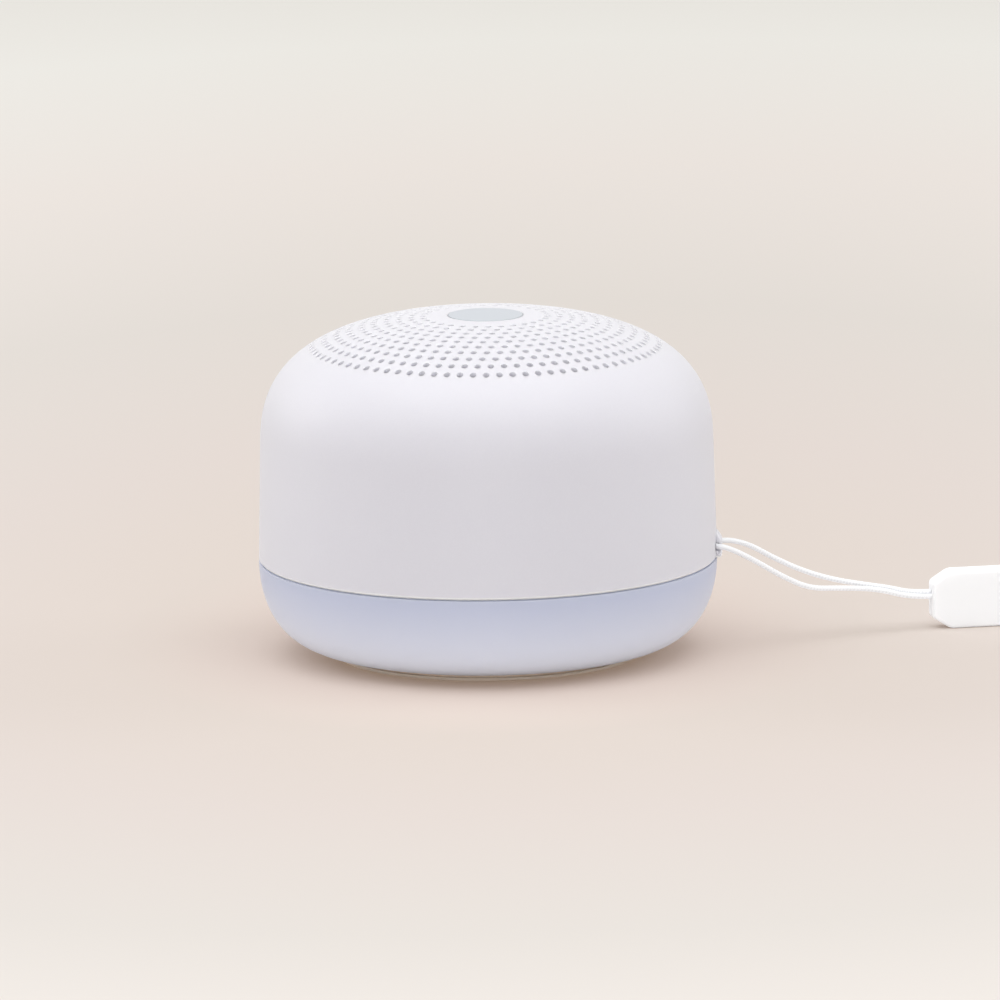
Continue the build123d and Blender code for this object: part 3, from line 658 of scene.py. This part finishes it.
@dataclass
class Housing:
    """The moulded dome and wall, with its grille, apertures and lanyard eyelet."""

    body_radius: float = 45.0
    rim_height: float = 18.95
    rim_chamfer: float = 0.45
    wall_top_radius: float = 44.4
    wall_top_height: float = 44.0
    crown_height: float = 67.2
    wall: float = 2.0
    shoulder: tuple[float, float] = (43.845, 67.3)
    crown_pull: float = 13.0
    # grille
    ring_pitch: float = 2.432
    first_ring: int = 5
    last_ring: int = 14
    ring_growth: int = 6
    hole_radius: float = 0.65
    hole_sides: int = 14
    drill_drop: float = 14.0
    drill_length: float = 16.0
    grille_turn: float = 11.7
    # pocket for the touch disc
    disc_radius: float = 7.3
    disc_gap: float = 0.15
    pocket_depth: float = 1.3
    # rear apertures
    rear_start: float = 36.0
    rear_end: float = 50.0
    rear_length: float = 12.0
    button_height: float = 35.0
    button_radius: float = 3.15
    button_pitch: float = 8.0
    light_radius: float = 0.9
    light_place: float = 9.5
    socket_height: float = 27.0
    recesses: tuple[Recess, ...] = (Recess("slot", 9.3, 3.6, 36.0), Recess("scoop", 12.4, 6.6, 44.0))
    recess_round: float = 0.999  # of the half height, so that the rounds don't quite meet
    # lanyard eyelet
    eyelet_root: float = 44.0
    eyelet_face: float = 46.0
    eyelet_half_width: float = 2.2
    eyelet_bottom: float = 19.0
    eyelet_brow: float = 22.6
    eyelet_top: float = 24.1
    eyelet_round: float = 0.45
    tunnel_bottom: float = 20.3
    tunnel_top: float = 22.0
    tunnel_centre: float = 52.0
    tunnel_outer: float = 8.15
    tunnel_inner: float = 6.75
    hook_length: float = 2.0
    hook_gap: float = 0.65
    hook_overlap: float = 0.004
    hook_throat: float = 1.2
    hook_flare: float = 2.1
    hook_opening: float = 3.2

    def shell(self) -> Piece:
        """Turn the closed shell from its outer profile and the parallel inner one."""
        inset = self.wall
        inner_shoulder = (self.shoulder[0] - inset, self.shoulder[1] - inset)
        return lathe(
            "housing_shell",
            [
                Knot(0, self.crown_height, after=(self.crown_pull, self.crown_height)),
                Knot(self.wall_top_radius, self.wall_top_height, before=self.shoulder),
                Knot(self.body_radius, self.rim_height + self.rim_chamfer),
                Knot(self.body_radius - self.rim_chamfer, self.rim_height),
                Knot(self.body_radius - inset, self.rim_height),
                Knot(self.wall_top_radius - inset, self.wall_top_height, after=inner_shoulder),
                Knot(0, self.crown_height - inset, before=(self.crown_pull, self.crown_height - inset)),
            ],
            steps=192,
            fineness=28,
        )

    def grille_cutter(self) -> Piece:
        """Make one drill for each ring, copy it round the axis and join the rings.

        Returns:
            One mesh of separate upright drills, six more in each ring than in the last.
        """
        rings = []
        angle = math.radians(self.grille_turn)
        for ring in range(self.first_ring, self.last_ring + 1):
            count = self.ring_growth * ring
            radius = ring * self.ring_pitch
            at = (radius * math.cos(angle), radius * math.sin(angle), self.crown_height - self.drill_drop)
            name = f"drill_ring_{ring}"
            drill = rod(name, self.hole_radius, self.drill_length, at, Way.UP, self.hole_sides)
            with editing(drill):
                bpy.ops.mesh.spin(
                    steps=count - 1,
                    angle=FULL_TURN * (count - 1) / count,
                    center=(0, 0, 0),
                    axis=(0, 0, 1),
                    dupli=True,
                )
            rings.append(drill)
        take_up(rings[0])
        for drill in rings:
            drill.select_set(True)
        bpy.ops.object.join()
        return bpy.context.object

    def eyelet_block(self) -> Piece:
        """Shape the eyelet from a box: a sloping brow above and rounded outer corners."""
        half = self.eyelet_half_width
        low = (self.eyelet_root, -half, self.eyelet_bottom)
        piece = block("eyelet_block", low, (self.eyelet_face, half, self.eyelet_top))
        brow = (self.eyelet_top - self.eyelet_brow, 0, self.eyelet_face - self.body_radius)
        cut_off(piece, (self.eyelet_face, 0, self.eyelet_brow), brow)
        soften(piece, self.eyelet_round, angle=30, steps=4)
        return piece

    def cord_tunnel(self) -> Piece:
        """Spin a small rectangle round an upright axis outside the wall, as the cord's curved way."""
        middle = self.tunnel_centre - (self.tunnel_inner + self.tunnel_outer) / 2
        height = self.tunnel_top - self.tunnel_bottom
        centre = Vector((middle, 0, self.tunnel_bottom + height / 2)) * MM
        clear_selection()
        bpy.ops.mesh.primitive_plane_add(size=1, location=centre, rotation=(math.pi / 2, 0, 0))
        piece = bpy.context.object
        piece.scale = ((self.tunnel_outer - self.tunnel_inner) * MM, height * MM, 1)
        named(piece, "cord_tunnel")
        axle = (self.tunnel_centre * MM, 0, 0)
        with editing(piece):
            bpy.ops.mesh.spin(steps=64, angle=FULL_TURN, center=axle, axis=(0, 0, 1))
            bpy.ops.mesh.select_all(action="SELECT")
            bpy.ops.mesh.remove_doubles(threshold=0.002 * MM)
            bpy.ops.mesh.select_all(action="DESELECT")
            bpy.ops.mesh.select_interior_faces()
            bpy.ops.mesh.delete(type="FACE")
            bpy.ops.mesh.select_all(action="SELECT")
            bpy.ops.mesh.normals_make_consistent(inside=False)
        return piece

    def hook_mouth(self) -> Piece:
        """Box out the narrow gap under the hook's tip, and flare it to both sides to lead the cord in."""
        start = self.tunnel_centre - self.tunnel_inner
        half = self.hook_throat / 2
        low = self.tunnel_bottom - self.hook_overlap
        high = low + self.hook_gap
        piece = block("hook_mouth", (start, -half, low), (start + self.hook_length, half, high))
        for side in (-1, 1):
            with editing(piece, lambda face: face.normal.y * side > 0.9):
                reach = (0, side * self.hook_flare * MM, 0)
                bpy.ops.mesh.extrude_region_move(TRANSFORM_OT_translate={"value": reach})
                bpy.ops.transform.resize(value=(1, 1, self.hook_opening))
        return piece

    def round_slot(self, recess: Recess) -> Piece:
        """Make a recess's cutter from a box whose edges are all rounded as far as its height lets them."""
        half_width, half_height = recess.width / 2, recess.height / 2
        tool = block(
            f"socket_{recess.name}",
            (-half_width, recess.start, self.socket_height - half_height),
            (half_width, self.rear_end, self.socket_height + half_height),
        )
        with editing(tool):
            bpy.ops.mesh.bevel(offset=half_height * MM * self.recess_round, segments=12)
        return tool

    def rear_cutters(self) -> list[Piece]:
        """Make the solids that cut the button apertures, the light's hole, the socket's slot and scoop."""
        tools = []
        for place in range(5):
            at = ((place - 2) * self.button_pitch, self.rear_start, self.button_height)
            tools.append(rod(f"aperture_{place}", self.button_radius, self.rear_length, at, Way.REAR, 48))
        at = (self.light_place, self.rear_start, self.socket_height)
        tools.append(rod("light_hole", self.light_radius, self.rear_length, at, Way.REAR, 24))
        return tools + [self.round_slot(recess) for recess in self.recesses]

    def build(self, finish: Material) -> Piece:
        """Build the finished housing.

        Args:
            finish: the moulded plastic.

        Returns:
            The housing, which stands for the CAD node of that name.
        """
        piece = self.shell()
        combine(piece, self.eyelet_block(), Join.FUSE)
        combine(piece, self.cord_tunnel(), Join.CUT)
        combine(piece, self.hook_mouth(), Join.CUT)
        at = (0, 0, self.crown_height - self.pocket_depth)
        pocket = rod("disc_pocket", self.disc_radius + self.disc_gap, 4, at, Way.UP, 96)
        combine(piece, pocket, Join.CUT)
        for tool in self.rear_cutters():
            combine(piece, tool, Join.CUT)
        combine(piece, self.grille_cutter(), Join.CUT)
        smooth(piece, 30)
        return hand_over(named(piece, "housing_dressed"), finish, "housing")


@dataclass
class TouchDisc:
    """The bare touch disc in the crown."""

    radius: float = 7.3
    top: float = 67.2
    thickness: float = 1.0
    edge_width: float = 0.06
    edge_drop: float = 0.1
    face_drop: float = 0.03
    face_pull: float = 3.5

    def build(self, finish: Material) -> Piece:
        """Turn the disc with a barely domed face and a small rounded edge."""
        rim = self.radius - self.edge_width
        piece = lathe(
            "touch_disc_dressed",
            [
                Knot(0, self.top, after=(self.radius / 3, self.top)),
                Knot(rim, self.top - self.face_drop, before=(self.radius - self.face_pull, self.top)),
                Knot(self.radius, self.top - self.edge_drop),
                Knot(self.radius, self.top - self.thickness),
                Knot(0, self.top - self.thickness),
            ],
            steps=96,
            fineness=8,
        )
        smooth(piece, 40)
        return hand_over(piece, finish, "touch_disc")


@dataclass
class LightBowl:
    """The milky bowl under the housing, with its tongue and the seam's groove."""

    body_radius: float = 45.0
    seam_height: float = 18.78
    rim_height: float = 18.95
    seam_depth: float = 0.4
    tongue_radius: float = 42.85
    tongue_wall: float = 1.45
    tongue_top: float = 21.2
    floor_radius: float = 30.6
    floor_height: float = 1.5
    wall: float = 2.0
    belly: tuple[float, float] = (44.7, 0.7)
    seam_pull: float = 2.35

    def build(self, finish: Material) -> Piece:
        """Turn the bowl from its outer curve, its tongue and its inner curve."""
        inset = self.wall
        seam, rim, top = self.seam_height, self.rim_height, self.tongue_top
        groove = self.body_radius - self.seam_depth
        inner_tongue = self.tongue_radius - self.tongue_wall
        inner = self.body_radius - inset
        floor = self.floor_height
        bulge, lift = self.belly
        under = floor + inset
        piece = lathe(
            "light_bowl_dressed",
            [
                Knot(0, floor),
                Knot(self.floor_radius, floor, after=(bulge, floor + lift)),
                Knot(self.body_radius, seam, before=(self.body_radius, seam - self.seam_pull)),
                Knot(groove, seam),
                Knot(groove, rim),
                Knot(self.tongue_radius, rim),
                Knot(self.tongue_radius, top),
                Knot(inner_tongue, top),
                Knot(inner_tongue, seam),
                Knot(inner, seam, after=(inner, seam - self.seam_pull)),
                Knot(self.floor_radius - inset / 2, under, before=(bulge - inset, floor + lift + inset)),
                Knot(0, under),
            ],
        )
        smooth(piece, 35)
        return hand_over(piece, finish, "light_bowl")


@dataclass
class FootPad:
    """The soft pad that the machine stands on, with a thin lip round its edge."""

    radius: float = 30.3
    lip: float = 0.7
    neck_radius: float = 29.3
    foot_edge: float = 0.28
    top: float = 1.5

    def build(self, finish: Material) -> Piece:
        """Turn the pad."""
        piece = lathe(
            "foot_pad_dressed",
            [
                Knot(0, 0),
                Knot(self.radius - self.foot_edge, 0),
                Knot(self.radius, self.foot_edge),
                Knot(self.radius, self.lip),
                Knot(self.neck_radius, self.lip),
                Knot(self.neck_radius, self.top),
                Knot(0, self.top),
            ],
            steps=128,
            fineness=2,
        )
        smooth(piece, 35)
        return hand_over(piece, finish, "foot_pad")


@dataclass
class ButtonRow:
    """Five press buttons in the rear wall, with faces that follow the wall's round."""

    names: tuple[str, ...] = ("power", "volume_down", "volume_up", "sound", "timer")
    height: float = 35.0
    pitch: float = 8.0
    radius: float = 3.0
    wall_radius: float = 44.614
    proud: float = 0.5
    edge: float = 0.3
    root: float = 37.0
    bar_length: float = 13.0
    trim_height: float = 20.0

    def build(self, finish: Material) -> list[Piece]:
        """Build each cap from a bar trimmed by the wall's round, with a soft edge.

        Args:
            finish: the caps' plastic.

        Returns:
            The five caps, each on its own body.
        """
        caps = []
        below = (0, 0, self.height - self.trim_height / 2)
        for place, name in enumerate(self.names):
            at = ((place - 2) * self.pitch, self.root, self.height)
            cap = rod(f"cap_{name}", self.radius, self.bar_length, at, Way.REAR, 64)
            trim = rod("wall_round", self.wall_radius + self.proud, self.trim_height, below, Way.UP, 256)
            combine(cap, trim, Join.KEEP_COMMON)
            soften(cap, self.edge, angle=45, steps=3)
            smooth(cap, 30)
            face, solid = max(v.co.y for v in cap.data.vertices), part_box(f"button_{name}")[1][1]
            log.info("%s reaches y %.2f mm, its solid %.2f mm", cap.name, face / MM, solid / MM)
            caps.append(hand_over(cap, finish, f"button_{name}", body=f"button_{name}"))
        return caps


@dataclass
class SpeakerSpider:
    """The corrugated ring of cloth that centres the voice coil and gives way as the cone moves."""

    inner_radius: float = 6.3
    outer_radius: float = 13.6
    seat: float = 44.2
    cloth: float = 0.12
    rise: float = 0.18
    first_wave: float = 7.4
    half_wave: float = 0.65
    half_waves: int = 8
    flattened: float = 0.3

    def side(self, lift: float) -> list[Knot]:
        """Draw one side of the cloth, from the coil out to the basket.

        Args:
            lift: how far this side lies over the seat.

        Returns:
            The side's knots, with a level line at each crest and each trough.
        """
        low = self.seat + lift
        reach = self.half_wave / 2
        knots = [Knot(self.inner_radius, low)]
        for turn in range(self.half_waves + 1):
            middle = self.first_wave + turn * self.half_wave
            up = low + self.rise * (turn % 2)
            knots.append(Knot(middle, up, before=(middle - reach, up), after=(middle + reach, up)))
        knots.append(Knot(self.outer_radius, low))
        return knots

    def build(self, finish: Material) -> Piece:
        """Turn the ring from its two corrugated sides."""
        top = self.side(self.cloth)
        under = [knot.back() for knot in reversed(self.side(0.0))]
        piece = lathe("speaker_spider_dressed", [*top, *under, top[0]], steps=96, fineness=4)
        smooth(piece, 50)
        hand_over(piece, finish, "speaker_spider")
        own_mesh(piece)
        return piece


@dataclass
class WristStrap:
    """One soft band, doubled and bonded into a head and opened into a loop."""

    origin: tuple[float, float] = (86.55, 22.85)
    yaw: float = 14.0
    height: float = 11.6
    rows: int = 6
    layer: float = 2.4
    layer_gap: float = 0.06
    head: float = 24.0
    head_pull: float = 14.0
    head_cut_length: float = 3.6
    head_cut_height: float = 2.3
    length: float = 100.0
    loop: float = 13.0
    loop_start: float = 62.0
    loop_pull: float = 16.0
    rounding: float = 1.1

    def centre_line(self) -> list[Knot]:
        """Lay out the middle of the band in plan, from one bonded end round the loop to the other."""
        half = self.layer / 2
        out = self.loop - half
        tip = self.length - self.loop
        arc = out * ROUND_HANDLE
        near = [
            Knot(0, half),
            Knot(self.head, half, after=(self.head + self.head_pull, half)),
            Knot(self.loop_start, out, before=(self.loop_start - self.loop_pull, out)),
            Knot(tip, out, after=(tip + arc, out)),
        ]
        end = Knot(tip + out, 0, before=(tip + out, arc), after=(tip + out, -arc))
        return [*near, end, *(knot.back(-1) for knot in reversed(near))]

    def build(self, finish: Material) -> Piece:
        """Raise the line into a band, give it its thickness, cut the head's corners and soften it.

        Args:
            finish: the strap's soft plastic.

        Returns:
            The strap, standing on its edge where its CAD solid stands.
        """
        piece = draw(self.centre_line(), 16, flat=True)
        rise = (0, 0, self.height / self.rows * MM)
        with editing(piece):
            for _ in range(self.rows):
                bpy.ops.mesh.extrude_edges_move(TRANSFORM_OT_translate={"value": rise})
            bpy.ops.mesh.select_all(action="SELECT")
            bpy.ops.mesh.normals_make_consistent(inside=False)
        wall = piece.modifiers.new("thickness", "SOLIDIFY")
        wall.thickness = (self.layer - self.layer_gap) * MM
        wall.offset = 0
        bpy.ops.object.modifier_apply(modifier=wall.name)
        cut = self.head_cut_height
        for level, way in ((cut, -1), (self.height - cut, 1)):
            cut_off(piece, (0, 0, level), (-cut, 0, self.head_cut_length * way))
        soften(piece, self.rounding, angle=28, steps=6)
        smooth(piece, 32)
        piece.rotation_euler = (0, 0, math.radians(self.yaw))
        piece.location = Vector((*self.origin, 0)) * MM
        return hand_over(named(piece, "wrist_strap_dressed"), finish, "wrist_strap")


@dataclass
class Lanyard:
    """One cord through the eyelet, as two strands that run side by side to the strap's head."""

    diameter: float = 1.05
    front_length: float = 55.1
    front: tuple[Spot, ...] = (
        (44.65, 0.0, 21.4), (44.65, -0.95, 21.4), (45.0, -2.2, 21.4), (45.45, -3.3, 21.5),
        (46.65, -3.6, 21.4), (48.8, -2.0, 20.3), (52.4, 1.1, 17.8), (57.4, 5.5, 13.9),
        (62.8, 9.7, 10.5), (68.9, 14.2, 9.7), (76.0, 18.4, 8.7), (82.567, 21.465, 6.4),
        (86.642, 22.481, 6.4),
    )
    rear_length: float = 51.4
    rear: tuple[Spot, ...] = (
        (44.65, 0.0, 21.4), (44.65, 0.95, 21.4), (45.0, 2.2, 21.4), (45.9, 3.6, 21.4),
        (48.0, 5.0, 21.1), (51.3, 7.0, 19.8), (56.0, 10.1, 16.5), (61.6, 13.3, 13.3),
        (67.4, 16.2, 11.0), (73.4, 18.9, 9.5), (78.6, 20.9, 8.4), (82.577, 22.251, 7.2),
        (86.458, 23.219, 7.2),
    )

    def strand(self, name: str, route: tuple[Spot, ...], finish: Material) -> Piece:
        """Lay one strand as a smooth curve on its route.

        Args:
            name: the CAD node that the strand stands for.
            route: the control points in millimetres.
            finish: the braid.

        Returns:
            The strand.
        """
        data = bpy.data.curves.new(f"{name}_dressed", "CURVE")
        data.dimensions = "3D"
        data.bevel_depth = self.diameter / 2 * MM
        data.bevel_resolution = 5
        data.resolution_u = 10
        data.use_fill_caps = True
        spline = data.splines.new("NURBS")
        spline.points.add(len(route) - 1)
        for spot, point in zip(route, spline.points):
            point.co = (*(Vector(spot) * MM), 1)
        spline.order_u = 3
        spline.use_endpoint_u = True
        piece = bpy.data.objects.new(f"{name}_dressed", data)
        bpy.context.collection.objects.link(piece)
        hand_over(piece, finish, name)
        return piece

    def build(self, finish: Material) -> list[Piece]:
        """Lay both strands."""
        return [
            self.strand("cord_front", self.front, finish),
            self.strand("cord_rear", self.rear, finish),
        ]


# ---------------------------------------- the stage


@dataclass(frozen=True)
class Lamp:
    """A square soft lamp that faces a point over the stage's middle, in metres and watts."""

    name: str
    at: Spot
    size: float
    power: float
    aim: float = 0.03

    def hang(self) -> None:
        """Hang the lamp, out of the camera's sight."""
        data = bpy.data.lights.new(self.name, "AREA")
        data.shape = "SQUARE"
        data.size = self.size
        data.energy = self.power
        lamp = bpy.data.objects.new(self.name, data)
        lamp.visible_camera = False
        bpy.context.collection.objects.link(lamp)
        way = Vector(self.at) - Vector((0, 0, self.aim))
        lamp.matrix_world = Matrix.Translation(self.at) @ way.to_track_quat("Z", "Y").to_matrix().to_4x4()


@dataclass
class Studio:
    """A pale floor, one wide soft lamp with three weak ones beside it, and the camera."""

    target: Spot = (2.46, 0.134, 30.149)
    turn: float = 3.0
    tilt: float = 10.813
    roll: float = -0.622
    distance: float = 2363.0
    lens: float = 433.35
    backdrop: str = "#EBE8E3"
    room_light: float = 0.54
    floor_size: float = 12.0
    lamps: tuple[Lamp, ...] = (
        Lamp("overhead", (-0.02, -0.24, 1.2), 1.5, 14.5),
        Lamp("edge_left", (-1.2, 0.4, 0.5), 0.7, 3.2),
        Lamp("edge_right", (1.2, 0.4, 0.5), 0.7, 2.6),
        Lamp("low_front", (0.0, -2.2, 0.3), 0.5, 4.6),
    )

    def camera(self) -> None:
        """Place the camera from its direction, its tilt and its distance."""
        turn, tilt, roll = (math.radians(a) for a in (self.turn, self.tilt, self.roll))
        back = Vector((math.cos(tilt) * math.sin(turn), -math.cos(tilt) * math.cos(turn), math.sin(tilt)))
        right = Vector((math.cos(turn), math.sin(turn), 0))
        up = back.cross(right)
        leaned_right = math.cos(roll) * right + math.sin(roll) * up
        leaned_up = -math.sin(roll) * right + math.cos(roll) * up
        data = bpy.data.cameras.new("camera")
        data.lens = self.lens
        data.sensor_width = 36
        data.clip_start = 0.05
        data.clip_end = 20
        camera = bpy.data.objects.new("camera", data)
        bpy.context.collection.objects.link(camera)
        axes = Matrix((leaned_right, leaned_up, back)).transposed().to_4x4()
        camera.matrix_world = Matrix.Translation((Vector(self.target) + back * self.distance) * MM) @ axes
        bpy.context.scene.camera = camera

    def floor(self) -> None:
        """Lay the wide floor."""
        clear_selection()
        bpy.ops.mesh.primitive_plane_add(size=self.floor_size, location=(0, 0, 0))
        piece = named(bpy.context.object, "studio_floor")
        piece.data.materials.append(PaintedFloor().build())

    def room(self) -> None:
        """Light the stage evenly from all round, and show the pale backdrop where the floor ends."""
        world = bpy.data.worlds.new("pale room")
        world.use_nodes = True
        tree = world.node_tree
        tree.nodes.clear()
        light, drop = (
            add_node(tree, "Background", {"Color": to_linear(colour), "Strength": strength}).outputs[0]
            for colour, strength in (("#FFFFFF", self.room_light), (self.backdrop, 1.0))
        )
        both = add_node(tree, "MixShader", {0: background_share(tree), 1: light, 2: drop})
        add_node(tree, "OutputWorld", {"Surface": both.outputs[0]})
        bpy.context.scene.world = world

    def build(self) -> None:
        """Set the camera, the floor, the lamps, the world and the view."""
        self.camera()
        self.floor()
        for lamp in self.lamps:
            lamp.hang()
        self.room()
        bpy.context.scene.view_settings.view_transform = "Standard"


# ---------------------------------------- the finishes used

# the housing's plastic carries a painted highlight along its bottom edge, over the seam
HOUSING_PLASTIC = HighlightedEdgePlastic("spark-eroded ABS, housing", "#D8D7DD", "#D4D3D9", spread=1.5)
DISC_PLASTIC = Moulded("satin ABS, touch disc", "#BEC3CA", "#BBC0C7", grain=0.5, depth=0.004, roughness=0.4)
BUTTON_PLASTIC = Moulded(
    "satin ABS, buttons", "#DCDBE0", "#D8D7DC", grain=0.4, depth=0.006, roughness=0.42, spread=0.5
)
FRAME_PLASTIC = Moulded("natural ABS, inner frame", "#E8E8E6", "#DEDEDC")
BLACK_PLASTIC = Moulded("black ABS, baffle", "#1C1C1D", "#161617")
BOARD_LAMINATE = Moulded("green glass-epoxy laminate", "#1E5A36", "#1A4F30", grain=0.6, roughness=0.35)
WHITE_LAMINATE = Moulded("white glass-epoxy laminate", "#ECECEA", "#E2E2E0", grain=0.6, roughness=0.35)
CHIP_EPOXY = Moulded("black moulding epoxy", "#202021", "#1A1A1B", grain=0.2)
PAPER_CONE = Moulded("coated paper, speaker cone", "#2B2B2D", "#222224", grain=0.5, depth=0.02, roughness=0.7)
CLEAR_ACRYLIC = Moulded(
    "acrylic light pipe", "#F2F4F6", "#E8EAEC", grain=2.0, depth=0.001, roughness=0.12, ior=1.49
)
LED_EPOXY = Moulded("clear lamp epoxy", "#F2EFC8", "#E8E3B8", grain=1.0, depth=0.001, roughness=0.2)
WHITE_FILM = Moulded("white polyester film", "#F4F4F4", "#EEEEEE", grain=1.0, depth=0.001, roughness=0.3)
FERRITE = Moulded("sintered ferrite", "#2E2E31", "#262629", grain=0.3, depth=0.01, roughness=0.6)
FOOT_RUBBER = SoftRubber("translucent silicone rubber, foot", "#FFEAD8", "#FBE4D1", spread=0.35)
STRAP_SILICONE = SoftRubber("white silicone, strap", "#FAFCFF", "#F7F9FC", roughness=0.38, spread=0.8)
BLACK_FOAM = SoftRubber("closed-cell foam", "#232323", "#1B1B1B", roughness=0.85, mottle=0.5)
SURROUND_RUBBER = SoftRubber("butyl rubber, speaker roll", "#1A1A1B", "#141415")
CELL_POUCH = PlainMetal("aluminium pouch foil", "#C6C8CB", 0.35)
ZINC_STEEL = PlainMetal("zinc-plated steel", "#B5B6B8", 0.3)
BLACK_STEEL = PlainMetal("black phosphated steel", "#2C2C2E", 0.5)
SOCKET_STEEL = PlainMetal("drawn nickel-plated steel", "#C9C9CB", 0.25)
COPPER = PlainMetal("copper foil and wire", "#C87850", 0.3)
GRILLE_CLOTH = WovenCloth("acoustic mesh", "#A8A9AC", "#8E8F93")
SPIDER_CLOTH = WovenCloth("resin-treated cotton, speaker spider", "#C9A55C", "#B8934A", thread=0.5)

SCREW_SETS = ("bowl", "frame", "baffle", "driver", "lamp", "board", "switch")
CARRIED_OVER: dict[Finish, tuple[str, ...]] = {
    GRILLE_CLOTH: ("grille_cloth",),
    BLACK_PLASTIC: ("baffle", "tact_switches"),
    BLACK_FOAM: ("speaker_gasket", "battery_pad"),
    BLACK_STEEL: ("speaker_basket",),
    ZINC_STEEL: ("speaker_top_plate", "speaker_yoke", *(f"{name}_screws" for name in SCREW_SETS)),
    FERRITE: ("speaker_magnet",),
    PAPER_CONE: ("speaker_cone", "dust_cap"),
    COPPER: ("voice_coil", "touch_foil"),
    SURROUND_RUBBER: ("speaker_surround",),
    FRAME_PLASTIC: ("inner_frame",),
    CELL_POUCH: ("battery",),
    BOARD_LAMINATE: ("main_board", "switch_board"),
    WHITE_LAMINATE: ("lamp_board",),
    CHIP_EPOXY: ("board_chips", *(f"plunger_{name}" for name in ButtonRow.names)),
    SOCKET_STEEL: ("usb_socket",),
    LED_EPOXY: ("status_led", "lamps"),
    CLEAR_ACRYLIC: ("light_pipe",),
    WHITE_FILM: ("reflector",),
}


def dress_carried_over() -> None:
    """Give every CAD node that stays its own finish."""
    for finish, nodes in CARRIED_OVER.items():
        material = finish.build()
        for name in nodes:
            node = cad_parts[name]
            for place in node.material_slots:
                place.material = material
            if not node.material_slots:
                node.data.materials.append(material)
            log.info("%s dressed in %s", name, material.name)


def main() -> None:
    """Build the studio and every piece, and log the finish of each."""
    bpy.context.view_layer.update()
    Studio().build()
    pieces = [
        WristStrap().build(STRAP_SILICONE.build()),
        *Lanyard().build(BraidedCord().build()),
        Housing().build(HOUSING_PLASTIC.build()),
        TouchDisc().build(DISC_PLASTIC.build()),
        LightBowl().build(OpalPlastic().build()),
        FootPad().build(FOOT_RUBBER.build()),
        SpeakerSpider().build(SPIDER_CLOTH.build()),
        *ButtonRow().build(BUTTON_PLASTIC.build()),
    ]
    for piece in pieces:
        log.info("%s built in %s", piece.name, piece.data.materials[0].name)
    dress_carried_over()


if __name__ == "__main__":
    main()
